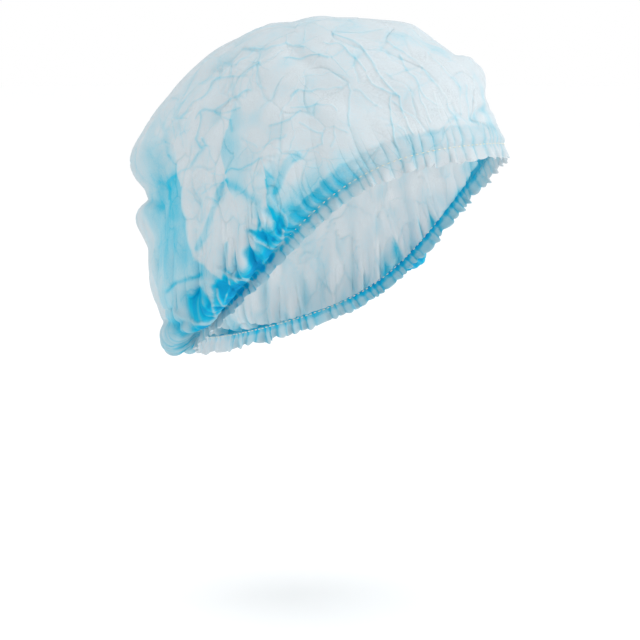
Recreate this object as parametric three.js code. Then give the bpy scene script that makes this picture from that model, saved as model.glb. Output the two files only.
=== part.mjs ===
// A disposable bouffant cap of thin nonwoven cloth, in the form it keeps while it is worn.
// One round sheet is gathered by an elastic thread that is stitched on near its edge. The edge is folded
// up inside, so that the cloth is double along the gathers, and below the thread it stands out as a frill.
// Millimetres. +Z is up, the wearer faces -Y, and the origin is where the crown of the head meets the cloth.
import * as THREE from "three";

// The head that the cap is stretched over.
const HEAD_BREADTH = 154;
const HEAD_LENGTH = 194;

// How far the elastic lies below the origin, from the forehead round the ear to the nape.
const ELASTIC_DROP_FRONT = 68.5;
const ELASTIC_DROP_TEMPLE = 82.5;
const ELASTIC_DROP_SIDE = 138.5;
const ELASTIC_DROP_BEHIND = 179.5;
const ELASTIC_DROP_BACK = 189.5;

// Cloth, thread and edge.
const CLOTH_WALL = 1;
const PIECE_GAP = 0.3;
const ELASTIC_DIAMETER = 1.4;
const HEM_DEPTH = 12;
const FRILL_DEPTH_FRONT = 9;
const FRILL_DEPTH_BACK = 13;

// How far the frill flares out from hanging straight down, in degrees.
const FRILL_FLARE_FRONT = 14;
const FRILL_FLARE_TEMPLE = 12;
const FRILL_FLARE_SIDE = 6;
const FRILL_FLARE_BEHIND = 6;
const FRILL_FLARE_BACK = 8;

// Gathers: how many there are, how deep they stand, how far up the cap they run and how sharply they die
// out, and the height from the thread at which they are full. The thread draws them in over a short way.
const GATHER_COUNT = 52;
const GATHER_HEIGHT_AT_ELASTIC = 0.3;
const GATHER_HEIGHT_FRONT = 1.8;
const GATHER_HEIGHT_BACK = 3;
const FRILL_GATHER_HEIGHT_FRONT = 1.6;
const FRILL_GATHER_HEIGHT_BACK = 3.2;
const GATHER_REACH_FRONT = 34;
const GATHER_REACH_BACK = 60;
const GATHER_FADE = 1.5;
const GATHER_SWELL = 7;
const CINCH_DEPTH = 0.6;
const CINCH_WIDTH = 3;

// How far up the cap its lines stay square to the elastic before they bend towards the top.
const SQUARE_REACH = 42;

// Fineness of the faceted surfaces: the rows' places as shares of the crown above the hem, of the hem and of
// the frill, and the steps by which lengths, directions and the corner at the thread are measured.
const COLUMNS = GATHER_COUNT * 2;
const CROWN_SHARES = [1, 0.88, 0.76, 0.65, 0.54, 0.44, 0.34, 0.25, 0.17, 0.1, 0.04];
const HEM_SHARES = [1, 0.4];
const FRILL_SHARES = [0.35, 0.7, 1];
const THREAD_SIDES = 6;
const LENGTH_SAMPLES = 48;
const HALVINGS = 24;
const STEP = 1e-3;
const CORNER_REACH = 1.5;
const CORNER_SHARE = 0.02;

// Sections of the cap from its top to the elastic. Outs are shares of the head's radius in that direction,
// and drops are shares of the way down to the elastic, at the front, temple, side, behind the ear and back.
const SECTIONS = [
  { at: 0.0, out: [0.0, 0.0, 0.0, 0.0, 0.0], drop: [0.0, 0.0, 0.0, 0.0, 0.0] },
  { at: 0.15, out: [0.34, 0.37, 0.4, 0.36, 0.33], drop: [0.04, 0.035, 0.02, 0.015, 0.015] },
  { at: 0.29, out: [0.62, 0.66, 0.73, 0.68, 0.66], drop: [0.18, 0.155, 0.095, 0.07, 0.062] },
  { at: 0.44, out: [0.82, 0.86, 0.98, 0.98, 1.0], drop: [0.39, 0.385, 0.24, 0.185, 0.175] },
  { at: 0.58, out: [0.92, 0.98, 1.13, 1.22, 1.26], drop: [0.62, 0.625, 0.445, 0.355, 0.34] },
  { at: 0.73, out: [0.97, 1.04, 1.18, 1.26, 1.29], drop: [0.79, 0.8, 0.67, 0.59, 0.57] },
  { at: 0.86, out: [1.0, 1.06, 1.19, 1.24, 1.22], drop: [0.895, 0.905, 0.89, 0.835, 0.81] },
  { at: 0.94, out: [1.02, 1.05, 1.14, 1.14, 1.08], drop: [0.955, 0.955, 0.97, 0.985, 0.98] },
  { at: 1.0, out: [1.02, 1.03, 1.03, 0.97, 0.84], drop: [1.0, 1.0, 1.0, 1.0, 1.0] },
];

// Main folds and dents. Azimuth is in degrees from the forehead, positive to the wearer's right. At is the
// place on the way from the top to the elastic, and lean turns the fold from upright, in degrees. Length,
// width and height are shares of the head's half length, and a height below 0 is a dent. The way down is
// such a share too, and folds ease off at the top and at the elastic.
const WAY_DOWN = 2.4;
const TOP_EASE = 0.2;
const EDGE_EASE = 0.9;
const FOLDS = [
  { azimuth: 150, at: 0.645, lean: 84, length: 0.34, width: 0.13, height: 0.065 },
  { azimuth: 152, at: 0.71, lean: 86, length: 0.3, width: 0.05, height: -0.045 },
  { azimuth: 152, at: 0.755, lean: 84, length: 0.3, width: 0.06, height: 0.035 },
  { azimuth: 150, at: 0.81, lean: 78, length: 0.3, width: 0.06, height: -0.025 },
  { azimuth: 154, at: 0.92, lean: 80, length: 0.3, width: 0.06, height: -0.055 },
  { azimuth: 128, at: 0.66, lean: 14, length: 0.34, width: 0.07, height: -0.05 },
  { azimuth: 112, at: 0.74, lean: -16, length: 0.3, width: 0.08, height: 0.05 },
  { azimuth: 100, at: 0.55, lean: -30, length: 0.26, width: 0.08, height: -0.04 },
  { azimuth: 84, at: 0.7, lean: 32, length: 0.24, width: 0.07, height: 0.04 },
  { azimuth: 122, at: 0.42, lean: 50, length: 0.3, width: 0.08, height: -0.035 },
  { azimuth: 74, at: 0.36, lean: -58, length: 0.34, width: 0.07, height: -0.025 },
  { azimuth: -34, at: 0.46, lean: 64, length: 0.24, width: 0.13, height: 0.04 },
  { azimuth: -32, at: 0.36, lean: 76, length: 0.16, width: 0.05, height: -0.03 },
  { azimuth: -36, at: 0.62, lean: 76, length: 0.2, width: 0.06, height: -0.03 },
  { azimuth: -80, at: 0.6, lean: 20, length: 0.34, width: 0.09, height: 0.045 },
  { azimuth: -104, at: 0.72, lean: -12, length: 0.32, width: 0.08, height: -0.05 },
  { azimuth: -132, at: 0.56, lean: 18, length: 0.34, width: 0.09, height: 0.05 },
  { azimuth: -118, at: 0.4, lean: -48, length: 0.3, width: 0.08, height: -0.035 },
];

const STATIONS = [0, 45, 90, 135, 180].map(THREE.MathUtils.degToRad);
const ELASTIC_DROPS = [
  ELASTIC_DROP_FRONT,
  ELASTIC_DROP_TEMPLE,
  ELASTIC_DROP_SIDE,
  ELASTIC_DROP_BEHIND,
  ELASTIC_DROP_BACK,
];
const FRILL_FLARES = [
  FRILL_FLARE_FRONT,
  FRILL_FLARE_TEMPLE,
  FRILL_FLARE_SIDE,
  FRILL_FLARE_BEHIND,
  FRILL_FLARE_BACK,
];
const FULL_TURN = Math.PI * 2;

// Five values at the stations become a smooth even function of the azimuth: a cosine series through them.
function seriesThrough(values) {
  const last = STATIONS.length - 1;
  const terms = STATIONS.map((unused, k) => {
    const ends = k % last === 0 ? 0.5 : 1;
    return STATIONS.reduce((sum, station, i) => {
      const weight = i % last === 0 ? 0.5 : 1;
      return sum + (2 / last) * ends * weight * values[i] * Math.cos(k * station);
    }, 0);
  });
  return (azimuth) => terms.reduce((sum, term, k) => sum + term * Math.cos(k * azimuth), 0);
}

const elasticDrop = seriesThrough(ELASTIC_DROPS);
const frillFlare = seriesThrough(FRILL_FLARES);
const sectionSeries = SECTIONS.map((row) => ({
  at: row.at,
  out: seriesThrough(row.out),
  drop: seriesThrough(row.drop),
}));

// A smooth line through the sections' values at one azimuth: cubic spans with the slopes of their neighbours.
function alongSections(at, values) {
  const last = SECTIONS.length - 1;
  const from = Math.min(Math.max(SECTIONS.findLastIndex((row) => row.at <= at), 0), last - 1);
  const slope = (i) => {
    const low = Math.max(i - 1, 0);
    const high = Math.min(i + 1, last);
    return (values[high] - values[low]) / (SECTIONS[high].at - SECTIONS[low].at);
  };
  const span = SECTIONS[from + 1].at - SECTIONS[from].at;
  const u = (at - SECTIONS[from].at) / span;
  const near = (1 + 2 * u) * (1 - u) ** 2 * values[from] + u * (1 - u) ** 2 * span * slope(from);
  const far = u * u * (3 - 2 * u) * values[from + 1] + u * u * (u - 1) * span * slope(from + 1);
  return near + far;
}

// The head's radius in a horizontal direction: an ellipse of its breadth and length.
function headRadius(azimuth) {
  const across = HEAD_BREADTH / 2;
  const along = HEAD_LENGTH / 2;
  return (across * along) / Math.hypot(along * Math.sin(azimuth), across * Math.cos(azimuth));
}

// The plain form in the upright half plane at one azimuth, with no fold or gather: the outer face's point at
// a share of the way from the top to the elastic, and its lengths from the elastic up.
function meridian(azimuth) {
  const radius = headRadius(azimuth);
  const fall = elasticDrop(azimuth) + CLOTH_WALL;
  const outs = sectionSeries.map((row) => row.out(azimuth) * radius);
  const drops = sectionSeries.map((row) => row.drop(azimuth) * fall);
  const point = (at) => {
    const out = alongSections(at, outs);
    const height = CLOTH_WALL - alongSections(at, drops);
    return new THREE.Vector3(-Math.sin(azimuth) * out, -Math.cos(azimuth) * out, height);
  };
  const lengths = [0];
  let previous = point(1);
  for (let i = 1; i <= LENGTH_SAMPLES; i += 1) {
    const next = point(1 - i / LENGTH_SAMPLES);
    lengths.push(lengths[i - 1] + next.distanceTo(previous));
    previous = next;
  }
  return { point, lengths, whole: lengths[LENGTH_SAMPLES] };
}

// The share of the way down that lies at a given length above the elastic.
function shareAtLength({ lengths, whole }, length) {
  if (length >= whole) {
    return 0;
  }
  const i = lengths.findIndex((reached) => reached > length) - 1;
  const u = (length - lengths[i]) / (lengths[i + 1] - lengths[i]);
  return 1 - (i + u) / LENGTH_SAMPLES;
}

// A value that grows smoothly from the forehead to the nape.
function frontToBack(front, back, azimuth) {
  return front + ((back - front) * (1 - Math.cos(azimuth))) / 2;
}

// The elastic's plain line at one azimuth: its point, its direction, the way up the cloth above it, and the
// way in which the frill hangs from it, square to the thread and flaring outwards. Going up square to the
// thread, the line turns round the head, and its way is longer than the height, where the thread slopes.
function waist(azimuth) {
  const onElastic = (turn) => {
    const radius = headRadius(turn) * sectionSeries.at(-1).out(turn);
    const height = CLOTH_WALL - (elasticDrop(turn) + CLOTH_WALL) * sectionSeries.at(-1).drop(turn);
    return new THREE.Vector3(-Math.sin(turn) * radius, -Math.cos(turn) * radius, height);
  };
  const along = onElastic(azimuth + STEP).sub(onElastic(azimuth - STEP)).normalize();
  const outward = new THREE.Vector3(-Math.sin(azimuth), -Math.cos(azimuth), 0);
  outward.addScaledVector(along, -outward.dot(along)).normalize();
  const down = new THREE.Vector3().crossVectors(outward, along).normalize();
  const flare = THREE.MathUtils.degToRad(frillFlare(azimuth));
  const hang = down.multiplyScalar(Math.cos(flare)).addScaledVector(outward, Math.sin(flare));
  const upright = meridian(azimuth);
  const up = upright.point(1 - CORNER_SHARE).sub(upright.point(1)).normalize();
  const stretch = 1 / Math.sqrt(1 - along.dot(up) ** 2);
  const across = Math.hypot(along.x, along.y) / headRadius(azimuth);
  const turn = -along.dot(up) * stretch * across;
  return { azimuth, point: upright.point(1), along, hang, up, stretch, turn };
}

// The plain sheet on one upright line, by its height above the elastic: down the frill where the height is
// below 0, and otherwise up the crown, square to the elastic at first and then bending towards the top.
function sheetPoint(line, height) {
  if (height < 0) {
    return line.point.clone().addScaledVector(line.hang, -height);
  }
  return crownLine(line, height).point;
}

// The same above the elastic, with the azimuth, the share of the way down and the length left to the top.
function crownLine(line, height) {
  const reach = SQUARE_REACH * (1 - Math.exp(-height / SQUARE_REACH));
  const azimuth = line.azimuth + line.turn * reach;
  const upright = meridian(azimuth);
  const length = height * line.stretch;
  const at = shareAtLength(upright, length);
  return { azimuth, at, point: upright.point(at), left: upright.whole - length };
}

// The height at which an upright line of the crown reaches the top, by halving. No line is longer than the
// longest way down and the widest way round together.
function heightOfTop(line) {
  let low = 0;
  let high = meridian(Math.PI).whole + HEAD_LENGTH;
  for (let i = 0; i < HALVINGS; i += 1) {
    const middle = (low + high) / 2;
    if (crownLine(line, middle).left > 0) {
      low = middle;
    } else {
      high = middle;
    }
  }
  return low;
}

// The sheet's outward normal on one upright line, by small steps each way. The steps up and down are long
// enough to round the corner at the elastic.
function sheetNormal(line, height) {
  const beside = (turn) => sheetPoint(waist(line.azimuth + turn), height);
  const round = beside(STEP).sub(beside(-STEP));
  const down = sheetPoint(line, height - CORNER_REACH).sub(sheetPoint(line, height + CORNER_REACH));
  return round.cross(down).normalize();
}

// How far the main folds stand out at a place on the crown: a soft ridge or dent for each row of the table.
function foldHeight(azimuth, at) {
  const unit = HEAD_LENGTH / 2;
  const total = FOLDS.reduce((sum, fold) => {
    const turn = azimuth - THREE.MathUtils.degToRad(fold.azimuth);
    const round = Math.atan2(Math.sin(turn), Math.cos(turn)) * unit;
    const down = (at - fold.at) * unit * WAY_DOWN;
    const lean = THREE.MathUtils.degToRad(fold.lean);
    const along = (round * Math.sin(lean) + down * Math.cos(lean)) / (fold.length * unit);
    const across = (round * Math.cos(lean) - down * Math.sin(lean)) / (fold.width * unit);
    return sum + fold.height * unit * Math.exp(-(along ** 2) - across ** 2);
  }, 0);
  const easeIn = THREE.MathUtils.smoothstep(at, 0, TOP_EASE);
  const easeOut = 1 - THREE.MathUtils.smoothstep(at, EDGE_EASE, 1);
  return total * easeIn * easeOut;
}

// How far the gathers stand out at a height above the elastic: a little on the thread, then swelling, then
// dying out up the crown, and full to the edge of the frill.
function gatherHeight(azimuth, height) {
  const reach = frontToBack(GATHER_REACH_FRONT, GATHER_REACH_BACK, azimuth);
  const above = frontToBack(GATHER_HEIGHT_FRONT, GATHER_HEIGHT_BACK, azimuth);
  const below = frontToBack(FRILL_GATHER_HEIGHT_FRONT, FRILL_GATHER_HEIGHT_BACK, azimuth);
  const fade = Math.max(1 - Math.max(height, 0) / reach, 0) ** GATHER_FADE;
  const full = height > 0 ? above : below;
  const swell = Math.min(Math.abs(height) / GATHER_SWELL, 1);
  return (GATHER_HEIGHT_AT_ELASTIC + (full - GATHER_HEIGHT_AT_ELASTIC) * swell) * fade;
}

// How far the elastic draws the cloth in, as a narrow waist round the thread.
function cinch(height) {
  return -CINCH_DEPTH * Math.exp(-((height / CINCH_WIDTH) ** 2));
}

// One upright line of a worn piece, with all that its points need. Side is 1 on a ridge of the gathers and
// -1 in a hollow between two.
function columnAt(index) {
  const azimuth = (index / COLUMNS) * FULL_TURN;
  const line = waist(azimuth);
  const radius = Math.hypot(line.point.x, line.point.y);
  const side = index % 2 === 0 ? 1 : -1;
  return { line, top: heightOfTop(line), side, pitch: (radius * FULL_TURN) / COLUMNS };
}

// A point of the sheet on one column. Inset is how deep inside the outer face it lies, and it grows on the
// slopes of the gathers, so that the wall keeps its thickness across them.
function clothPoint(column, height, inset) {
  const { line, side, pitch } = column;
  if (height >= column.top) {
    return new THREE.Vector3(0, 0, CLOTH_WALL - inset);
  }
  const gather = gatherHeight(line.azimuth, height);
  const steepness = Math.hypot(1, (2 * gather) / pitch);
  const place = height < 0 ? null : crownLine(line, height);
  const fold = place ? foldHeight(place.azimuth, place.at) : 0;
  const relief = side * gather + cinch(height) + fold - inset * steepness;
  return sheetPoint(line, height).addScaledVector(sheetNormal(line, height), relief);
}

// Heights above the elastic for the rows of the crown and the hem, and below it for the frill's. The crown
// and the frill stop just short of each other, behind the thread.
const crownHeight = (share) => (column) => HEM_DEPTH + share * (column.top - HEM_DEPTH);
const hemHeight = (share) => () => share * HEM_DEPTH;
const aboveThread = () => PIECE_GAP / 2;
const belowThread = () => -PIECE_GAP / 2;
const frillHeight = (share, short) => (column) =>
  -share * (frontToBack(FRILL_DEPTH_FRONT, FRILL_DEPTH_BACK, column.line.azimuth) - short);

// A closed solid of revolution whose points are moved to their worn places. The profile is a list of
// functions from a column to a point, and the lathe carries it round all the columns. Past the row given as
// turned, the profile comes back up inside, and there each facet is split the other way, so that the two
// faces of the wall, and those of the pieces within, stay the same distance apart.
function wornPiece(name, profile, turned, colour, roughness) {
  const rings = profile.map((unused, row) => new THREE.Vector2(1, row));
  const geometry = new THREE.LatheGeometry(rings, COLUMNS);
  const position = geometry.getAttribute("position");
  for (let index = 0; index <= COLUMNS; index += 1) {
    const column = columns[index % COLUMNS];
    profile.forEach((point, row) => {
      const { x, y, z } = point(column);
      position.setXYZ(index * profile.length + row, x, y, z);
    });
  }
  const rows = profile.length - 1;
  const index = geometry.getIndex();
  for (let quad = 0; quad < COLUMNS * rows; quad += 1) {
    if (quad % rows >= turned) {
      const a = Math.floor(quad / rows) * profile.length + (quad % rows);
      const b = a + profile.length;
      [a, b, b + 1, a, b + 1, a + 1].forEach((vertex, i) => index.setX(quad * 6 + i, vertex));
    }
  }
  geometry.computeVertexNormals();
  const material = new THREE.MeshStandardMaterial({ color: colour, roughness, metalness: 0 });
  const mesh = new THREE.Mesh(geometry, material);
  mesh.name = name;
  return mesh;
}

// One face of a wall, a given depth inside the sheet's outer face.
function faceOf(heights, inset) {
  return heights.map((height) => (column) => clothPoint(column, height(column), inset));
}

// The crown: the gathered sheet from the top of the head to the elastic, as one thin wall.
function crown() {
  const heights = [...CROWN_SHARES.map(crownHeight), ...HEM_SHARES.map(hemHeight), aboveThread];
  const profile = [...faceOf(heights, 0), ...faceOf(heights, CLOTH_WALL).reverse()];
  return wornPiece("crown", profile, heights.length, 0xb9dbe6, 0.75);
}

// The frill: the same cloth below the elastic, from the thread down to the fold at the edge.
function frill() {
  const heights = [belowThread, ...FRILL_SHARES.map((share) => frillHeight(share, 0))];
  const profile = [...faceOf(heights, 0), ...faceOf(heights, CLOTH_WALL).reverse()];
  profile.push(profile[0]);
  return wornPiece("frill", profile, heights.length, 0x8fd0e6, 0.7);
}

// The turned hem: the edge of the sheet, folded up inside the frill and the gathers behind the elastic.
function turnedHem() {
  const outside = CLOTH_WALL + PIECE_GAP;
  const heights = [
    ...HEM_SHARES.map(hemHeight),
    aboveThread,
    belowThread,
    ...FRILL_SHARES.map((share) => frillHeight(share, PIECE_GAP)),
  ];
  const profile = [...faceOf(heights, outside), ...faceOf(heights, outside + CLOTH_WALL).reverse()];
  profile.push(profile[0]);
  return wornPiece("turned_hem", profile, heights.length, 0x7cc6e0, 0.75);
}

// The elastic: a thin round thread that lies in the waist, on the gathers' ridges and clear of both slopes.
function elastic() {
  const radius = ELASTIC_DIAMETER / 2;
  const side = (turn) => ({ line }) => {
    const normal = sheetNormal(line, 0);
    const opening = Math.sin(line.up.angleTo(line.hang) / 2);
    const ridge = gatherHeight(line.azimuth, radius);
    const seat = (ridge + PIECE_GAP + radius) / opening - CINCH_DEPTH;
    const across = new THREE.Vector3().crossVectors(normal, line.along);
    return line.point
      .clone()
      .addScaledVector(normal, seat + radius * Math.cos(turn))
      .addScaledVector(across, radius * Math.sin(turn));
  };
  const turns = Array.from({ length: THREAD_SIDES }, (unused, i) => (i / THREAD_SIDES) * FULL_TURN);
  const profile = turns.map(side);
  profile.push(profile[0]);
  return wornPiece("elastic", profile, profile.length, 0xe6e4d6, 0.6);
}

const columns = Array.from({ length: COLUMNS }, (unused, index) => columnAt(index));
const cap = new THREE.Group();
cap.name = "bouffant_cap";
cap.add(crown(), frill(), turnedHem(), elastic());

export default cap;
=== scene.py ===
"""A disposable bouffant cap of thin nonwoven cloth, in its worn form. Metres, +Z up, its front faces -Y."""

import bpy
import numpy as np
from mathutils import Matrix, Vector


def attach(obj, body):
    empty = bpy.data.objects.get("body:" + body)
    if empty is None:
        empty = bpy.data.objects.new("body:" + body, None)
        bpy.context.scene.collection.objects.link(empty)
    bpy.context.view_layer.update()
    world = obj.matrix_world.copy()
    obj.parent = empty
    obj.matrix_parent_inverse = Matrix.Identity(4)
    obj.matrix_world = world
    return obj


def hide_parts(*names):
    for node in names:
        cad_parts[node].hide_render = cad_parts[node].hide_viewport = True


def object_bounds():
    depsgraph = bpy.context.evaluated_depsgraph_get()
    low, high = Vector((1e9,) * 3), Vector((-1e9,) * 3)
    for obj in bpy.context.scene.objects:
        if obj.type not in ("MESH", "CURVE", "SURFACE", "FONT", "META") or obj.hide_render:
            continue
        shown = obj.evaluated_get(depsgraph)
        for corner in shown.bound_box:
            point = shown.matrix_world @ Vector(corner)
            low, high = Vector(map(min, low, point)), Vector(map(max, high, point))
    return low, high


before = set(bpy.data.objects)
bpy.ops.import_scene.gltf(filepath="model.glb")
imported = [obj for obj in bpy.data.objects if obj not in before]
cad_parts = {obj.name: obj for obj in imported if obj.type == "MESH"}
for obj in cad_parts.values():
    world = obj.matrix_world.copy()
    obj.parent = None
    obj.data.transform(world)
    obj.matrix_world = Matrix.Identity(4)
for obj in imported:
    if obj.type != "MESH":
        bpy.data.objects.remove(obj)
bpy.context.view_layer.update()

# The camera stands ahead of the cap and to its right, a little above its middle, with a portrait lens. Its
# place is given from the middle of the cap, and one pixel there is a bit over half a millimetre.
PHOTO_SIDE = 640
CAP_MIDDLE = np.array([0.0, 0.0, -0.1])
CAP_MIDDLE_PIXEL = np.array([340.5, 193.5])
CAMERA_AZIMUTH = np.radians(-55)
CAMERA_ELEVATION = np.radians(4)
CAMERA_DISTANCE = 1.3
PIXEL_SIZE = 0.000579
SENSOR = 0.036
VIEW_LIMIT = 50
focal_pixels = CAMERA_DISTANCE / PIXEL_SIZE
to_camera = np.array([
    np.sin(CAMERA_AZIMUTH) * np.cos(CAMERA_ELEVATION),
    -np.cos(CAMERA_AZIMUTH) * np.cos(CAMERA_ELEVATION),
    np.sin(CAMERA_ELEVATION),
])
level_right = np.array([np.cos(CAMERA_AZIMUTH), np.sin(CAMERA_AZIMUTH), 0.0])
level_up = np.cross(to_camera, level_right)
aside, below = PHOTO_SIDE / 2 - CAP_MIDDLE_PIXEL
aim = level_right * aside - level_up * below - to_camera * focal_pixels

camera = bpy.data.objects.new("camera", bpy.data.cameras.new("camera"))
bpy.context.scene.collection.objects.link(camera)
camera.data.sensor_width = SENSOR * 1000
camera.data.lens = focal_pixels / PHOTO_SIDE * SENSOR * 1000
camera.data.clip_end = VIEW_LIMIT
camera.location = CAP_MIDDLE + to_camera * CAMERA_DISTANCE
camera.rotation_mode = "QUATERNION"
camera.rotation_quaternion = Vector(aim).to_track_quat("-Z", "Y")
bpy.context.scene.camera = camera
bpy.context.view_layer.update()


def seen_at(points):
    """Pixels across and down the photograph at which points show, and how far they lie before the camera."""
    turned = (points - np.array(camera.matrix_world.translation)) @ np.array(camera.matrix_world.to_3x3())
    depth = -turned[..., 2]
    across = PHOTO_SIDE / 2 + focal_pixels * turned[..., 0] / depth
    down = PHOTO_SIDE / 2 - focal_pixels * turned[..., 1] / depth
    return np.stack([across, down], -1), depth


# The studio: a wide pale floor under a pale sky, soft light from overhead, a large soft light ahead of the
# cap and a weaker one behind its right side. The lights have a name, a place, a side and a power.
FLOOR_BELOW = 0.14
FLOOR_RADIUS = 14.0
FLOOR_SIDES = 96
FLOOR_COLOUR = (0.965, 0.968, 0.97, 1)
FLOOR_ROUGHNESS = 0.9
SKY_STRENGTH = 0.75
SOFT_LIGHTS = [
    ("key", (0.5, -2.0, 0.75), 1.1, 24),
    ("fill", (-1.9, 0.4, 0.9), 1.6, 2.3),
]
OVERHEAD_STRENGTH = 0.95
OVERHEAD_SPREAD = np.radians(50)
bpy.context.scene.view_settings.view_transform = "Standard"
bpy.context.scene.view_settings.look = "None"

world = bpy.data.worlds.new("studio")
bpy.context.scene.world = world
world.use_nodes = True
surround = world.node_tree.nodes["Background"]
surround.inputs["Color"].default_value = (1, 1, 1, 1)
surround.inputs["Strength"].default_value = SKY_STRENGTH
shown = world.node_tree.nodes.new("ShaderNodeBackground")
shown.inputs["Color"].default_value = (1, 1, 1, 1)
path = world.node_tree.nodes.new("ShaderNodeLightPath")
either = world.node_tree.nodes.new("ShaderNodeMixShader")
world.node_tree.links.new(path.outputs["Is Camera Ray"], either.inputs[0])
world.node_tree.links.new(surround.outputs[0], either.inputs[1])
world.node_tree.links.new(shown.outputs[0], either.inputs[2])
world.node_tree.links.new(either.outputs[0], world.node_tree.nodes["World Output"].inputs["Surface"])


def soft_light(name, place, side, power):
    """A square soft light of a given side and power, at a place, turned to the middle of the cap."""
    light = bpy.data.objects.new(name, bpy.data.lights.new(name, "AREA"))
    bpy.context.scene.collection.objects.link(light)
    light.data.size = side
    light.data.energy = power
    light.location = place
    light.rotation_mode = "QUATERNION"
    light.rotation_quaternion = Vector(CAP_MIDDLE - np.array(place)).to_track_quat("-Z", "Y")


for light_name, light_place, light_side, light_power in SOFT_LIGHTS:
    soft_light(light_name, light_place, light_side, light_power)
overhead = bpy.data.objects.new("overhead", bpy.data.lights.new("overhead", "SUN"))
bpy.context.scene.collection.objects.link(overhead)
overhead.data.energy = OVERHEAD_STRENGTH
overhead.data.angle = OVERHEAD_SPREAD

floor_turn = np.linspace(0, 2 * np.pi, FLOOR_SIDES, endpoint=False)
floor_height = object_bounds()[0][2] - FLOOR_BELOW
floor_rim = np.stack([
    FLOOR_RADIUS * np.cos(floor_turn),
    FLOOR_RADIUS * np.sin(floor_turn),
    np.full(FLOOR_SIDES, floor_height),
], -1)
floor_mesh = bpy.data.meshes.new("floor")
floor_mesh.from_pydata(floor_rim.tolist(), [], [list(range(FLOOR_SIDES))])
floor = bpy.data.objects.new("floor", floor_mesh)
bpy.context.scene.collection.objects.link(floor)
floor_paint = bpy.data.materials.new("pale_floor")
floor_paint.use_nodes = True
floor_paint.node_tree.nodes["Principled BSDF"].inputs["Base Color"].default_value = FLOOR_COLOUR
floor_paint.node_tree.nodes["Principled BSDF"].inputs["Roughness"].default_value = FLOOR_ROUGHNESS
floor_mesh.materials.append(floor_paint)

# The crown: one sheet of spunbond cloth from its top down to the elastic. It is stretched round an ellipse
# and let out by air, and it keeps soft folds, fine gathers and the creases of its packing.
FIT_BREADTH = 0.154
FIT_LENGTH = 0.194
ELASTIC_DROP = [0.0685, 0.0825, 0.1385, 0.1795, 0.1895]
CLOTH_WALL = 0.001
SQUARE_REACH = 0.042
STATIONS = np.radians([0, 45, 90, 135, 180])
# Sections from the top to the elastic: the share of the way, then outs as shares of the ellipse's radius and
# drops as shares of the way down to the elastic, each at the five stations from the front to the back.
SECTIONS = [
    (0.0, [0.0, 0.0, 0.0, 0.0, 0.0], [0.0, 0.0, 0.0, 0.0, 0.0]),
    (0.15, [0.34, 0.37, 0.4, 0.36, 0.33], [0.04, 0.035, 0.02, 0.015, 0.015]),
    (0.29, [0.62, 0.66, 0.73, 0.68, 0.66], [0.18, 0.155, 0.095, 0.07, 0.062]),
    (0.44, [0.82, 0.86, 0.98, 0.98, 1.0], [0.39, 0.385, 0.24, 0.185, 0.175]),
    (0.58, [0.92, 0.98, 1.13, 1.22, 1.26], [0.62, 0.625, 0.445, 0.355, 0.34]),
    (0.73, [0.97, 1.04, 1.18, 1.26, 1.29], [0.79, 0.8, 0.67, 0.59, 0.57]),
    (0.86, [1.0, 1.06, 1.19, 1.24, 1.22], [0.895, 0.905, 0.89, 0.835, 0.81]),
    (0.94, [1.02, 1.05, 1.14, 1.14, 1.08], [0.955, 0.955, 0.97, 0.985, 0.98]),
    (1.0, [1.02, 1.03, 1.03, 0.97, 0.84], [1.0, 1.0, 1.0, 1.0, 1.0]),
]
KNOTS = np.array([row[0] for row in SECTIONS])
OUTS = np.array([row[1] for row in SECTIONS])
DROPS = np.array([row[2] for row in SECTIONS])
FRILL_FLARE = np.radians([14, 12, 6, 6, 8])


def round_series(values, turn):
    """Rows of five values at the stations become even functions of the turn: a cosine series through them."""
    last = len(STATIONS) - 1
    order = np.arange(last + 1)
    ends = np.where(order % last == 0, 0.5, 1.0)
    waves = np.cos(order[:, None] * STATIONS)
    terms = 2 / last * ends * ((np.asarray(values) * ends) @ waves.T)
    return np.tensordot(terms, np.cos(order.reshape(-1, *[1] * np.ndim(turn)) * turn), 1)


def along_sections(rows, at):
    """Values at each section, of shape (sections, ...), read at a share of the way: cubic spans between the
    sections, with the slopes of their neighbours."""
    last = len(KNOTS) - 1
    low = np.maximum(np.arange(last + 1) - 1, 0)
    high = np.minimum(np.arange(last + 1) + 1, last)
    slopes = (rows[high] - rows[low]) / (KNOTS[high] - KNOTS[low]).reshape(-1, *[1] * (rows.ndim - 1))
    start = np.clip(np.searchsorted(KNOTS, at, side="right") - 1, 0, last - 1)
    span = KNOTS[start + 1] - KNOTS[start]
    u = (at - KNOTS[start]) / span

    def pick(table, which):
        return np.take_along_axis(table, which[None], 0)[0]

    near = (1 + 2 * u) * (1 - u) ** 2 * pick(rows, start) + u * (1 - u) ** 2 * span * pick(slopes, start)
    far = u * u * (3 - 2 * u) * pick(rows, start + 1) + u * u * (u - 1) * span * pick(slopes, start + 1)
    return near + far


def fit_radius(turn):
    """The radius of the ellipse that the cap is stretched round, in a direction from the front."""
    across, along = FIT_BREADTH / 2, FIT_LENGTH / 2
    return across * along / np.hypot(along * np.sin(turn), across * np.cos(turn))


def form_point(turn, at):
    """The plain form: out from the axis by the sections' outs times the ellipse's radius, and down by their
    drops times the way down to the elastic."""
    turn, at = np.broadcast_arrays(turn, at)
    out = along_sections(round_series(OUTS, turn), at) * fit_radius(turn)
    fall = round_series(ELASTIC_DROP, turn) + CLOTH_WALL
    drop = along_sections(round_series(DROPS, turn), at) * fall
    return np.stack([-np.sin(turn) * out, -np.cos(turn) * out, CLOTH_WALL - drop], -1)


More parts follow.
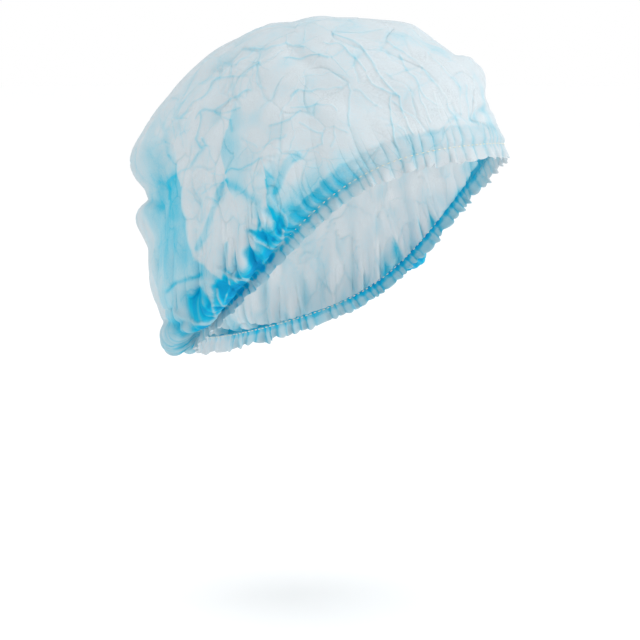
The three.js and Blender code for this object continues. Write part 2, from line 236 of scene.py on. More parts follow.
# Shares of the way by shares of the length up from the elastic, on upright lines all round the form.
WAY_STEPS = 160
TURN_STEPS = 360
turns = np.linspace(0, 2 * np.pi, TURN_STEPS + 1)
ways = np.linspace(0, 1, WAY_STEPS + 1)
lines = form_point(turns[None, :], 1 - ways[:, None])
steps_up = np.linalg.norm(np.diff(lines, axis=0), axis=-1)
lengths_up = np.concatenate([np.zeros((1, TURN_STEPS + 1)), np.cumsum(steps_up, 0)])
whole_lengths = lengths_up[-1]
ways_by_length = np.stack([
    np.interp(ways, lengths_up[:, i] / whole_lengths[i], 1 - ways) for i in range(TURN_STEPS + 1)
], 1)


def whole_length(turn):
    """The length of the upright line at a turn, from the elastic to the top."""
    return np.interp(np.mod(turn, 2 * np.pi), turns, whole_lengths)


def way_at_length(turn, length):
    """The share of the way at a length up from the elastic, between the nearest lines and steps."""
    across = np.mod(turn, 2 * np.pi) / (2 * np.pi) * TURN_STEPS
    up = np.clip(length / whole_length(turn), 0, 1) * WAY_STEPS
    i = np.minimum(across.astype(int), TURN_STEPS - 1)
    j = np.minimum(up.astype(int), WAY_STEPS - 1)
    u, v = across - i, up - j
    low = ways_by_length[j, i] * (1 - u) + ways_by_length[j, i + 1] * u
    high = ways_by_length[j + 1, i] * (1 - u) + ways_by_length[j + 1, i + 1] * u
    return low * (1 - v) + high * v


def unit(vectors):
    """Vectors of length 1 in the same directions."""
    return vectors / np.linalg.norm(vectors, axis=-1, keepdims=True)


def front_to_back(pair, turn):
    """A value that grows smoothly from the front to the back: half a cosine wave between the pair."""
    return pair[0] + (pair[1] - pair[0]) * (1 - np.cos(turn)) / 2


def from_front(turn):
    """The same turn, counted from the front: from half a turn back to half a turn on."""
    return np.mod(turn + np.pi, 2 * np.pi) - np.pi


TURN_STEP = 1e-3
CORNER_REACH = 0.0015
WAY_ABOVE_THREAD = 0.98
TOP_GUESS = 0.2
TOP_ROUNDS = 6


class Waist:
    """The elastic's plain line at given turns: its point, its direction, the way up the cloth, the way the
    frill hangs, and how the cloth's lines turn and stretch as they leave the thread square to it."""

    def __init__(self, turn):
        self.turn = turn
        self.point = form_point(turn, np.ones_like(turn))
        ahead = form_point(turn + TURN_STEP, np.ones_like(turn))
        behind = form_point(turn - TURN_STEP, np.ones_like(turn))
        self.along = unit(ahead - behind)
        outward = np.stack([-np.sin(turn), -np.cos(turn), np.zeros_like(turn)], -1)
        outward = unit(outward - self.along * (outward * self.along).sum(-1, keepdims=True))
        down = unit(np.cross(outward, self.along))
        flare = round_series(FRILL_FLARE, turn)[..., None]
        self.hang = down * np.cos(flare) + outward * np.sin(flare)
        self.up = unit(form_point(turn, np.full_like(turn, WAY_ABOVE_THREAD)) - self.point)
        lean = (self.along * self.up).sum(-1)
        self.stretch = 1 / np.sqrt(1 - lean ** 2)
        level = np.hypot(self.along[..., 0], self.along[..., 1])
        self.veer = -lean * self.stretch * level / fit_radius(turn)

    def turn_at(self, height):
        """The turn that a line has reached at a height above the thread."""
        return self.turn + self.veer * SQUARE_REACH * (1 - np.exp(-height / SQUARE_REACH))

    def top(self):
        """The height at which each line reaches the top of the cap."""
        height = np.full_like(self.turn, TOP_GUESS)
        for _ in range(TOP_ROUNDS):
            height = whole_length(self.turn_at(height)) / self.stretch
        return height


def sheet_point(waist, height):
    """The plain sheet, lines by columns: up the crown above the thread, and straight down the frill below."""
    above = np.maximum(height, 0)
    turn = waist.turn_at(above)
    crown = form_point(turn, way_at_length(turn, above * waist.stretch))
    frill = waist.point + waist.hang * np.maximum(-height, 0)[..., None]
    return np.where((height < 0)[..., None], frill, crown)


def sheet_normal(turn, height):
    """The sheet's outward direction: across small steps round and up, which also round off the corner at
    the thread."""
    round_way = sheet_point(Waist(turn + TURN_STEP), height) - sheet_point(Waist(turn - TURN_STEP), height)
    waist = Waist(turn)
    down_way = sheet_point(waist, height - CORNER_REACH) - sheet_point(waist, height + CORNER_REACH)
    return unit(np.cross(round_way, down_way))


def smooth_step(low, high, value):
    """0 below low, 1 above high, and a smooth cubic between them."""
    share = np.clip((value - low) / (high - low), 0, 1)
    return share * share * (3 - 2 * share)


# Main folds and dents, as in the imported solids: the azimuth in degrees, the share of the way, the lean from
# upright in degrees, and the length, width and height as shares of the ellipse's half length.
WAY_DOWN = 2.4
TOP_EASE = 0.2
EDGE_EASE = 0.9
MAIN_FOLDS = [
    (150, 0.645, 84, 0.34, 0.13, 0.065),
    (152, 0.71, 86, 0.3, 0.05, -0.045),
    (152, 0.755, 84, 0.3, 0.06, 0.035),
    (150, 0.81, 78, 0.3, 0.06, -0.025),
    (154, 0.92, 80, 0.3, 0.06, -0.055),
    (128, 0.66, 14, 0.34, 0.07, -0.05),
    (112, 0.74, -16, 0.3, 0.08, 0.05),
    (100, 0.55, -30, 0.26, 0.08, -0.04),
    (84, 0.7, 32, 0.24, 0.07, 0.04),
    (122, 0.42, 50, 0.3, 0.08, -0.035),
    (74, 0.36, -58, 0.34, 0.07, -0.025),
    (-34, 0.46, 64, 0.24, 0.13, 0.04),
    (-32, 0.36, 76, 0.16, 0.05, -0.03),
    (-36, 0.62, 76, 0.2, 0.06, -0.03),
    (-80, 0.6, 20, 0.34, 0.09, 0.045),
    (-104, 0.72, -12, 0.32, 0.08, -0.05),
    (-132, 0.56, 18, 0.34, 0.09, 0.05),
    (-118, 0.4, -48, 0.3, 0.08, -0.035),
]


def main_folds(turn, way):
    """Each fold is a bell of its height, as long and wide as it says, turned by its lean. All ease off at the
    top and at the elastic."""
    total = np.zeros_like(way)
    for azimuth, at, lean, length, width, height in MAIN_FOLDS:
        beside = from_front(turn - np.radians(azimuth))
        below = (way - at) * WAY_DOWN
        tilt = np.radians(lean)
        along = (beside * np.sin(tilt) + below * np.cos(tilt)) / length
        across = (beside * np.cos(tilt) - below * np.sin(tilt)) / width
        total += height * np.exp(-along ** 2 - across ** 2)
    return total * FIT_LENGTH / 2 * smooth_step(0, TOP_EASE, way) * (1 - smooth_step(EDGE_EASE, 1, way))


# The gathers: about a hundred round tubes with sharp hollows between them, closer at the sides than at the
# front. They swell just above the thread, and die out or join in twos and fours on their way up. Pairs of
# values hold at the front and at the back.
GATHERS = 104
GATHER_HEIGHT = (0.0011, 0.0019)
GATHER_REACH = (0.018, 0.055)
SINGLE_REACH = 0.5
GATHER_AT_THREAD = 0.25
GATHER_FULL_UP = 0.006
GATHER_WANDER = 0.12
WANDER_LENGTH = 0.009
WANDER_TURNS = 3
TUBE_POWER = 0.6
TUBE_MIDDLE = 0.6
HOLLOW_WIDTH = 0.17
HEM_TURN_UP = 0.0115
# How gathers bunch round the cap: how far, how many times a turn, and from where.
CLOSER_AT_SIDES = 0.05
GATHER_SWINGS = [(0.25, 7, 1), (0.26, 13, 2.2), (0.2, 23, 0.7), (0.13, 37, 1.9)]
# Gathers that join: how many, how strong, how much further up they reach, the heights between which they
# form, and how much their hollows count. The pair is their strength at the front and at the back.
JOINED_GATHERS = [(2, 1.2, 1.0, 0.004, 0.016, 0.7), (4, 1.4, 1.5, 0.008, 0.03, 0.6)]
JOINED_STRENGTH = (0.35, 1.4)
gather_dice = np.random.default_rng(7)
gather_size = gather_dice.uniform(0.55, 1.35, GATHERS)
gather_length = gather_dice.uniform(0.45, 1.4, GATHERS)


def swings_at(turn, rows):
    """The sum of a few sine waves round the cap, each of its size, number and start."""
    return sum(size * np.sin(times * turn + start) for size, times, start in rows)


def gather_phase(turn):
    """The number of gathers from the front to a turn: even, but for slow and quick swings in their width."""
    even = GATHERS * (turn - CLOSER_AT_SIDES * np.sin(2 * turn)) / (2 * np.pi)
    return even + swings_at(turn, GATHER_SWINGS)


def tube(phase):
    """The outline across gathers: round ridges that meet in sharp hollows, from 0 to 1."""
    return np.abs(np.sin(np.pi * phase)) ** TUBE_POWER


def hollow(phase, width=HOLLOW_WIDTH):
    """1 at the hollows between gathers, and 0 on their ridges."""
    return np.exp(-(np.sin(np.pi * phase) / (width * np.pi)) ** 2)


def gathers(turn, height):
    """How far the gathers stand out, and how deep in a hollow a point is, at heights above the thread: the
    single gathers and the joined ones, each a tube that fades with its own reach."""
    up = np.maximum(height, 0)
    phase = gather_phase(turn) + GATHER_WANDER * np.sin(up / WANDER_LENGTH + WANDER_TURNS * turn)
    number = np.floor(phase).astype(int)
    reach = front_to_back(GATHER_REACH, turn)
    single_reach = reach * SINGLE_REACH * gather_length[number % GATHERS]
    single = gather_size[number % GATHERS] * np.exp(-((up / single_reach) ** 2))
    relief = single * (tube(phase) - TUBE_MIDDLE)
    depth = single * hollow(phase)
    for many, strength, further, low, high, counted in JOINED_GATHERS:
        joined = strength * front_to_back(JOINED_STRENGTH, turn) * gather_size[number // many % GATHERS]
        joined = joined * np.exp(-((up / (further * reach)) ** 2)) * smooth_step(low, high, up)
        relief += joined * (tube(phase / many) - TUBE_MIDDLE)
        depth += counted * joined * hollow(phase / many)
    swell = GATHER_AT_THREAD + (1 - GATHER_AT_THREAD) * smooth_step(0, GATHER_FULL_UP, np.abs(height))
    return front_to_back(GATHER_HEIGHT, turn) * swell * relief, depth


# Chance folds. The flat cloth is rumpled by smooth noise and creased along the borders of uneven cells, as
# thin cloth is that was packed tight.
RUMPLE_WAVES = 16
WAVE_SIZES = (0.7, 1.6)
CELL_TABLE = 64


def rumple(flat, size, seed):
    """Smooth noise of about unit height: a sum of waves of about one size, in all directions."""
    dice = np.random.default_rng(seed)
    heading = dice.uniform(0, 2 * np.pi, RUMPLE_WAVES)
    rate = 2 * np.pi / (size * dice.uniform(*WAVE_SIZES, RUMPLE_WAVES))
    start = dice.uniform(0, 2 * np.pi, RUMPLE_WAVES)
    total = np.zeros(flat.shape[:-1])
    for angle, quickness, shift in zip(heading, rate, start):
        total += np.cos(quickness * (flat[..., 0] * np.cos(angle) + flat[..., 1] * np.sin(angle)) + shift)
    return total / np.sqrt(RUMPLE_WAVES / 2)


def uneven(flat, strength, size, seed):
    """Smooth noise of a strength, a size and a seed, as the values that are named for it say."""
    return strength * rumple(flat, size, seed)


def cell_borders(flat, size, seed):
    """The distance to the border between the two nearest of many scattered points, one in each square of a
    grid of the given size, and a number from 0 to 1 that belongs to the nearest."""
    dice = np.random.default_rng(seed)
    table = dice.uniform(0, 1, (CELL_TABLE, CELL_TABLE, 3))
    square = np.floor(flat / size).astype(int)
    nearest = np.full(flat.shape[:-1], 9.0)
    second = np.full(flat.shape[:-1], 9.0)
    owner = np.zeros(flat.shape[:-1])
    for across in (-1, 0, 1):
        for up in (-1, 0, 1):
            cell = square + (across, up)
            entry = table[cell[..., 0] % CELL_TABLE, cell[..., 1] % CELL_TABLE]
            distance = np.linalg.norm((cell + entry[..., :2]) * size - flat, axis=-1)
            closer = distance < nearest
            second = np.where(closer, nearest, np.minimum(second, distance))
            owner = np.where(closer, entry[..., 2], owner)
            nearest = np.where(closer, distance, nearest)
    return (second - nearest) / 2, owner


# Folds and creases where the photograph shows them, with painted shade and painted highlights. Each row has
# the softness of its two sides in pixels, left and right of its route, how firm its shoulders are, its height
# in millimetres, the layers of cloth that it adds, and its route across the photograph. The narrow rows are
# creases. The wide rows add painted shade: the deeper blue along the outline and in the shaded hollows under
# the puffs. A light edge has layers below 0: a painted highlight, which thins what lies double.
SEEN_FOLDS_WITH_PAINTED_LIGHT = [
    (1.2, 1.2, 2, 0.5, 0.75,
     [(334, 34), (349, 41), (360, 44), (369, 57), (375, 68), (385, 83), (393, 93), (399, 98)]),
    (1.1, 1.1, 2, 0.4, 0.7, [(324, 42), (338, 45), (346, 49), (355, 58), (366, 70)]),
    (1.2, 1.2, 2, 0.5, 0.8, [(368, 75), (372, 83), (378, 88), (387, 93), (396, 97)]),
    (1.1, 1.1, 2, 0.4, 0.6, [(399, 98), (400, 107), (402, 112), (407, 123), (413, 132)]),
    (1.0, 1.0, 2, 0.3, 0.45, [(377, 71), (385, 71), (393, 78)]),
    (1.2, 1.2, 2, 0.4, 0.6, [(399, 55), (404, 66), (412, 76), (419, 86), (426, 98), (435, 104)]),
    (1.0, 1.0, 2, 0.3, 0.5, [(419, 89), (421, 102), (425, 112), (431, 121)]),
    (1.1, 1.1, 2, 0.4, 0.7, [(390, 97), (391, 111), (391, 123), (394, 136), (398, 152)]),
    (1.0, 1.0, 2, 0.3, 0.5, [(393, 102), (402, 110), (410, 115), (419, 123)]),
    (1.1, 1.1, 2, 0.4, 0.55,
     [(387, 42), (399, 49), (416, 61), (425, 73), (437, 86), (444, 96), (451, 111), (456, 121)]),
    (1.2, 1.2, 2, 0.4, 0.5, [(428, 52), (438, 63), (446, 71), (454, 79), (459, 88), (460, 102), (460, 115)]),
    (1.0, 1.0, 2, 0.3, 0.4, [(434, 93), (437, 107), (441, 120)]),
    (1.2, 1.2, 2, 0.3, 0.5, [(465, 86), (468, 102), (470, 120)]),
    (1.2, 1.2, 2, 0.3, 0.4, [(469, 86), (475, 102), (479, 123)]),
    (1.0, 1.0, 2, 0.3, 0.55, [(349, 83), (353, 90), (350, 104), (347, 115), (349, 126)]),
    (1.0, 1.0, 2, 0.3, 0.4, [(356, 89), (363, 96), (374, 104), (382, 108)]),
    (1.1, 1.1, 2, 0.4, 0.6, [(290, 95), (299, 90), (311, 93), (322, 89), (333, 87), (341, 88)]),
    (1.0, 1.0, 2, 0.3, 0.7, [(290, 107), (305, 106), (319, 104), (331, 107), (337, 111)]),
    (1.0, 1.0, 2, 0.3, 0.45, [(290, 58), (305, 58), (319, 56), (334, 57), (344, 49)]),
    (1.0, 1.0, 2, 0.3, 0.6,
     [(299, 123), (312, 129), (324, 134), (322, 146), (309, 149), (303, 159), (293, 162)]),
    (1.0, 1.0, 2, 0.3, 0.4, [(324, 130), (336, 126), (346, 132)]),
    (1.0, 1.0, 2, 0.3, 0.4, [(336, 126), (336, 137), (330, 146)]),
    (1.0, 1.0, 2, 0.3, 0.5, [(281, 115), (287, 104), (291, 96), (298, 91)]),
    (1.2, 1.2, 2, 0.5, 0.7,
     [(182, 119), (188, 109), (195, 101), (206, 96), (211, 89), (212, 82), (219, 78), (234, 77)]),
    (1.1, 1.1, 2, 0.4, 0.6, [(234, 77), (241, 76), (249, 69), (259, 63)]),
    (1.0, 1.0, 2, 0.3, 0.5, [(198, 84), (211, 78), (219, 78), (219, 68)]),
    (1.2, 1.2, 2, 0.5, 0.8,
     [(194, 117), (200, 113), (206, 110), (214, 110), (222, 105), (231, 99), (241, 94), (250, 91)]),
    (1.0, 1.0, 2, 0.3, 0.6, [(215, 112), (222, 114), (231, 110), (241, 108)]),
    (1.4, 1.4, 2, 0.4, 0.6, [(215, 112), (223, 118), (230, 120), (231, 131)]),
    (1.3, 1.3, 2, 0.5, 0.9,
     [(200, 115), (200, 125), (198, 135), (196, 139), (200, 147), (205, 145), (202, 139)]),
    (1.9, 1.4, 2, 0.4, 0.7, [(202, 148), (196, 157), (192, 169)]),
    (1.0, 1.0, 2, 0.3, 0.45, [(206, 145), (211, 156), (216, 165)]),
    (1.0, 1.0, 2, 0.3, 0.35, [(174, 137), (182, 133), (194, 131)]),
    (1.0, 1.0, 2, 0.3, 0.5, [(166, 152), (174, 164), (178, 168)]),
    (1.3, 1.3, 2, 0.3, 0.7, [(170, 198), (170, 184), (174, 176), (183, 172), (190, 170)]),
    (1.3, 1.3, 2, 0.4, 0.65, [(243, 50), (254, 49), (267, 49), (278, 46), (287, 43), (294, 47), (304, 47)]),
    (1.0, 1.0, 2, 0.3, 0.5, [(282, 57), (293, 58), (308, 57), (318, 56), (329, 57)]),
    (1.0, 1.0, 2, 0.3, 0.5, [(225, 64), (238, 64), (249, 56), (254, 50)]),
    (1.0, 1.0, 2, 0.3, 0.4, [(258, 63), (257, 78), (258, 84), (266, 89)]),
    (1.1, 1.1, 2, 0.4, 0.7, [(269, 125), (281, 123), (291, 119), (300, 110)]),
    (1.2, 1.2, 2, 0.3, 0.6, [(263, 147), (273, 140), (286, 136)]),
    (1.0, 1.0, 2, 0.3, 0.4, [(242, 137), (251, 143), (258, 147)]),
    (1.2, 1.2, 2, 0.3, 0.8, [(225, 173), (231, 169), (241, 168), (250, 164), (258, 159)]),
    (0.8, 0.8, 2, 0.3, -0.5, [(251, 155), (261, 157), (267, 159), (281, 160)]),
    (1.1, 1.1, 2, 0.3, 0.5, [(261, 160), (266, 169), (273, 179)]),
    (1.0, 1.0, 2, 0.3, 0.5, [(203, 194), (211, 187), (225, 183)]),
    (1.0, 1.0, 2, 0.3, 0.5, [(211, 173), (222, 174), (227, 180)]),
    (20, 0.9, 2, 0.2, 0.95, [(227, 129), (224, 144), (223, 157), (225, 171), (228, 181)]),
    (4.5, 4.5, 4, 0.6, 0.95, [(298, 156), (287, 164), (281, 177), (275, 191)]),
    (10, 1.0, 2, 0.3, 1.5, [(266, 180), (267, 196), (269, 208), (273, 220)]),
    (5, 5, 2, 0.2, 0.9, [(233, 184), (247, 195), (259, 203), (258, 213)]),
    (3.6, 3.6, 4, 0.5, 0.95, [(227, 181), (218, 195), (212, 211), (206, 234), (198, 249)]),
    (1.8, 26, 2, 0.2, 1.3, [(179, 187), (182, 213), (186, 239), (191, 257), (204, 267)]),
    (17, 17, 2, 0.2, 0.95, [(146, 150), (150, 180), (155, 215), (161, 250), (163, 290), (170, 320)]),
    (10, 10, 2, 0.1, 0.6,
     [(150, 125), (175, 95), (215, 53), (260, 28), (300, 18), (340, 18), (400, 32), (445, 45)]),
    (8, 8, 2, 0.1, 0.5, [(445, 45), (472, 58), (487, 80), (490, 105), (497, 130)]),
    (9, 9, 2, -3.0, 0.2, [(424, 33), (438, 38), (450, 43), (458, 48)]),
    (4, 4, 2, 2.2, 0.3, [(465, 54), (472, 57)]),
    (4, 4, 2, -2.4, 0.6, [(489, 108), (480, 112), (474, 118)]),
    (8, 8, 2, -2.8, 0.2, [(491, 96), (496, 108), (501, 122), (504, 136)]),
    (4, 4, 2, -2.0, 0.5, [(137, 199), (150, 202), (160, 206)]),
    (5, 5, 2, -2.4, 0.6, [(163, 323), (174, 325), (186, 322)]),
    (5.5, 5.5, 4, 0.2, 0.4, [(174, 176), (174, 195), (176, 215)]),
    (3.5, 3.5, 2, 0.3, 0.5, [(164, 124), (167, 140), (170, 157)]),
    (3.2, 3.2, 3, -1.6, 2.4, [(248, 231), (259, 234), (273, 240)]),
    (6.5, 6.5, 4, -2.4, 2.6, [(249, 254), (256, 264), (262, 274)]),
    (6, 6, 4, -2.6, 2.8, [(218, 287), (228, 290), (241, 291), (250, 291)]),
    (3.4, 3.4, 2, -1.0, 2.2, [(243, 284), (250, 291)]),
    (4.2, 4.2, 3, -1.4, 1.6, [(269, 212), (275, 221), (281, 233)]),
    (1.5, 2.6, 2, 1.8, -0.8, [(245, 229), (253, 238), (265, 243), (277, 249), (283, 241)]),
    (1.4, 2.4, 2, 1.0, -0.8,
     [(284, 231), (283, 242), (279, 247), (279, 255), (275, 264), (267, 274), (259, 283)]),
    (1.5, 3.2, 2, 1.4, -0.9, [(220, 268), (227, 273), (237, 278), (251, 282), (263, 285), (258, 277)]),
    (1.5, 2.4, 2, 1.2, -0.85,
     [(217, 290), (219, 297), (223, 304), (231, 308), (237, 300), (245, 298), (253, 301)]),
    (1.4, 2.2, 2, 1.0, -0.85, [(213, 306), (217, 315), (221, 320), (229, 317), (236, 310)]),
    (1.8, 4.0, 2, 1.4, -0.8, [(178, 312), (186, 319), (198, 323), (211, 321), (221, 313)]),
    (1.4, 2.2, 2, 0.9, -0.7, [(263, 262), (270, 266), (277, 264), (285, 256), (291, 248)]),
    (1.1, 1.6, 2, 0.5, -0.6, [(229, 280), (227, 290), (225, 302)]),
    (9, 7, 2, 0.0, -0.9, [(223, 240), (228, 256), (233, 270)]),
    (1.3, 2.2, 2, 0.9, -0.7, [(255, 205), (262, 212), (265, 222), (261, 231)]),
    (1.3, 3.0, 2, 0.9, -0.6, [(268, 196), (276, 203), (284, 214), (287, 226)]),
    (3.2, 3.2, 2, -1.2, 1.8, [(200, 291), (204, 298), (208, 306)]),
    (2.2, 2.2, 2, -0.8, 0.9, [(168, 289), (176, 283), (190, 278), (200, 274)]),
    (11, 11, 2, 1.6, 0.9, [(190, 298), (205, 310)]),
    (1.4, 1.4, 2, 0.6, -0.6, [(195, 260), (203, 258), (208, 266)]),
    (2.8, 2.8, 2, 0.8, -0.8, [(200, 283), (207, 280), (214, 283)]),
    (5.0, 5.0, 3, -0.6, 1.2, [(198, 330), (214, 329), (230, 327)]),
]


# A fold is narrow up to so many pixels, and wide from so many. Pairs are slants to the camera, between which
# folds gain their colour, wide folds gain their painted shade, and all stand out.
NARROW_FOLD = 2
NARROW_SHARE = 0.95
WIDE_FOLD = 9
COLOURED = (0.04, 0.26)
COLOURED_WIDE = (0.08, 0.5)
STANDING = (-0.3, -0.1)
ROUTE_WAVERS = [(0.8, 23, 31), (0.8, 23, 32)]


def folds_and_painted_light_at(points, normals):
    """The height and the layers that the folds in the photograph add, with painted shade in the wide ones, and
    how far the painted highlights of their light edges thin the cloth. Each is a bell across its route, with
    its own softness on either side, on the cloth that faces the camera."""
    pixels, _ = seen_at(points)
    pixels = pixels + np.stack([uneven(pixels, *row) for row in ROUTE_WAVERS], -1)
    sight = np.array(camera.matrix_world.translation) - points
    slant = (unit(sight) * normals).sum(-1)
    facing, wide_facing = smooth_step(*COLOURED, slant), smooth_step(*COLOURED_WIDE, slant)
    standing = smooth_step(*STANDING, slant)
    height = np.zeros(points.shape[:-1])
    layers = np.zeros(points.shape[:-1])
    painted_highlight = np.zeros(points.shape[:-1])
    for left, right, firm, rise, added, route in SEEN_FOLDS_WITH_PAINTED_LIGHT:
        route = np.array(route, float)
        closest = np.full(points.shape[:-1], 1e6)
        side = np.zeros(points.shape[:-1])
        for start, end in zip(route[:-1], route[1:]):
            way = end - start
            beyond = pixels - start
            share = np.clip((beyond @ way) / (way @ way), 0, 1)
            distance = np.linalg.norm(beyond - share[..., None] * way, axis=-1)
            nearer = distance < closest
            side = np.where(nearer, way[0] * beyond[..., 1] - way[1] * beyond[..., 0], side)
            closest = np.where(nearer, distance, closest)
        bell = np.exp(-((closest / np.where(side > 0, right, left)) ** firm))
        height += rise * 1e-3 * bell * standing
        # A light edge is a painted highlight: it takes layers away where cloth lies double.
        if added < 0:
            painted_highlight = np.maximum(painted_highlight, -added * bell * facing)
        else:
            # Wide rows add painted shade; narrow rows add the layers of creases.
            counted = added if max(left, right) > NARROW_FOLD else NARROW_SHARE * added
            layers += counted * bell * (wide_facing if min(left, right) > WIDE_FOLD else facing)
    return height, layers, painted_highlight


# The cloth hangs over the elastic at the sides and round the back, in uneven puffs with deep valleys between
# them, because air fills it there. Rows of three say how strong an unevenness is, its size and its seed.
BUNCH_TURNS = np.radians([64, 92])
BUNCH_OUT = 0.005
BUNCH_UP = 0.021
BUNCH_SPREAD = 0.0135
BUNCH_CLEAR = 0.007
SAG = (0.0125, 0.0055)
SAG_TURNS = np.radians([112, 150])
SAG_BETWEEN_PUFFS = 0.35
SAG_LUMPS = (0.12, 0.06, 12)
PUFFS = 22
PUFF_POWER = 0.5
PUFF_SWINGS = [(0.3, 5, 0.6), (0.22, 11, 2.9)]
PUFF_DRIFT = (0.3, 0.08, 13)
PUFF_LUMPS = (0.25, 0.05, 11)
# Layers in the valleys and in the cavity under the puffs: partly folded cloth, partly painted shade, paler
# towards the rear and weaker on the far side.
VALLEY_FOLD_AND_SHADE_LAYERS = 2.6
VALLEY_WIDTH = 0.16
VALLEY_TOP = (0.013, 0.024)
VALLEY_CLIMB = 0.009
VALLEY_BESIDE = 0.7
VALLEY_EDGE = (0.003, 0.018, 16)
VALLEY_LUMPS = (0.2, 0.03, 14)
PALER_TURNS = np.radians([98, 124])
PALER_BY = 0.8
PALER_EDGE = (0.1, 0.06, 15)
FAR_VALLEYS = 0.6
puff_dice = np.random.default_rng(19)
puff_size = puff_dice.uniform(0.6, 1.15, PUFFS)


def bunching(turn, height, flat):
    """How far the bunched cloth stands out, how far it sags, and the layers that its valleys add, partly
    folded cloth and partly painted shade under the puffs: a bell over the height above the thread, at the
    sides and the back alone, cut into puffs of uneven size."""
    turned = from_front(turn)
    behind = smooth_step(*BUNCH_TURNS, np.abs(turned))
    phase = PUFFS * turn / (2 * np.pi) + swings_at(turn, PUFF_SWINGS) + uneven(flat, *PUFF_DRIFT)
    size = puff_size[np.floor(phase).astype(int) % PUFFS]
    puff = np.abs(np.sin(np.pi * phase)) ** PUFF_POWER
    bell = behind * np.exp(-(((height - BUNCH_UP) / BUNCH_SPREAD) ** 2)) * smooth_step(0, BUNCH_CLEAR, height)
    out = bell * BUNCH_OUT * (puff * size + uneven(flat, *PUFF_LUMPS))
    sag = SAG[0] + (SAG[1] - SAG[0]) * smooth_step(*SAG_TURNS, np.abs(turned))
    hang = SAG_BETWEEN_PUFFS + (1 - SAG_BETWEEN_PUFFS) * puff
    down = bell * sag * hang * size * (1 + uneven(flat, *SAG_LUMPS))
    # Painted shade, partly real: the valleys and the cavity below the puffs get extra layers.
    valley = hollow(phase, VALLEY_WIDTH)
    low = 1 - smooth_step(*VALLEY_TOP, height - VALLEY_CLIMB * valley + uneven(flat, *VALLEY_EDGE))
    paler = 1 - PALER_BY * smooth_step(*PALER_TURNS, np.abs(turned) + uneven(flat, *PALER_EDGE))
    deep = behind * paler * low * (VALLEY_BESIDE + (1 - VALLEY_BESIDE) * valley)
    deep = deep * (1 + uneven(flat, *VALLEY_LUMPS)) * np.where(turned < 0, FAR_VALLEYS, 1)
    return out, down, VALLEY_FOLD_AND_SHADE_LAYERS * deep


# Creases run along the borders of large cells and, in patches, of small ones.
CELL_SIZE = 0.024
CELL_SEED = 23
CREASE_WIDTH = 0.0011
CREASE_BENDS = [(0.0022, 0.03, 21), (0.0022, 0.03, 22)]
CREASES_KEPT = (0.25, 0.75)
CREASE_PATCHES = (0.25, 0.05, 25)
FINE_CELL_SHARE = 0.42
FINE_CELL_SEED = 24
FINE_WIDTH_SHARE = 0.7
FINE_KEPT = (0.3, 1.2)
FINE_PATCHES = (1, 0.07, 26)


def chance_creases(flat):
    """How near each place lies to a large and to a small crease: bells across the borders of bent cells."""
    bent = flat + np.stack([uneven(flat, *row) for row in CREASE_BENDS], -1)
    border, owner = cell_borders(bent, CELL_SIZE, CELL_SEED)
    fine_border, _ = cell_borders(bent, CELL_SIZE * FINE_CELL_SHARE, FINE_CELL_SEED)
    crease = np.exp(-((border / CREASE_WIDTH) ** 2))
    crease *= smooth_step(*CREASES_KEPT, owner + uneven(flat, *CREASE_PATCHES))
    fine = np.exp(-((fine_border / (CREASE_WIDTH * FINE_WIDTH_SHARE)) ** 2))
    fine *= smooth_step(*FINE_KEPT, uneven(flat, *FINE_PATCHES))
    return crease, fine


# Layers of cloth. The hem shows through as a band up to its raw edge, more or less in patches, and hardly at
# one place beside the brow. Over the brow the cloth is paler: painted light. Behind the brow the gathers are
# tight and packed, and deeper blue above the thread: partly the packed cloth, partly painted shade. Their
# ridges carry painted highlights, as fewer layers, and so does the frill's edge.
TIGHT_TURNS = np.radians([34, 72])
BROW_TURNS = np.radians([20, 60])
BROW_PAINTED_LIGHT = 0.22
RAW_EDGE_SOFTNESS = 0.0012
RAW_EDGE_STEPS = 0.0018
RAW_EDGE_WAVER = (0.0008, 0.012, 28)
BAND_LAYERS = 0.75
BAND_LESS_AT_BROW = 0.1
BAND_PATCH_SHARE = 0.3
BAND_PATCHES = (1.5, 0.07, 34)
BAND_GAP_AT = np.radians(38)
BAND_GAP_WIDTH = np.radians(9)
BAND_GAP_SHARE = 0.5
BAND_LESS_ON_FRILL = 0.55
BAND_FRILL_FADE = (0.0005, 0.003)
HOLLOW_FOLD_AND_SHADE_LAYERS = 0.9
HOLLOW_MORE_WHERE_TIGHT = 0.3
HOLLOW_LESS_ABOVE = 0.6
HOLLOW_FADE = (0.014, 0.034)
PACKED_AND_SHADE_LAYERS = 1.6
PACKED_FADE = (0.008, 0.026)
PACKED_EDGE = (0.004, 0.03, 33)
PACKED_LESS_AT_REAR = 0.8
REAR_TURNS = np.radians([100, 126])
LAID_LESS_ON_FRILL = 0.8
LAID_FADE = 0.003
CREASE_LAYERS = 0.38
FINE_LAYERS = 0.28
CHANCE_LAYERS = (0.12, 0.02, 29)
FRILL_EDGE_PAINTED_HIGHLIGHT = 0.35
FRILL_HIGHLIGHT_FADE = (0.005, 0.009)
RIDGE_HIGHLIGHT_POWER = 20
RIDGE_HIGHLIGHT_REACH = 0.02
RIDGE_PAINTED_HIGHLIGHT = 0.55
MOST_PAINTED_HIGHLIGHT = 0.9
HIGHLIGHTED_DOWN_TO = 1.75
FEWEST_LAYERS = 0.35


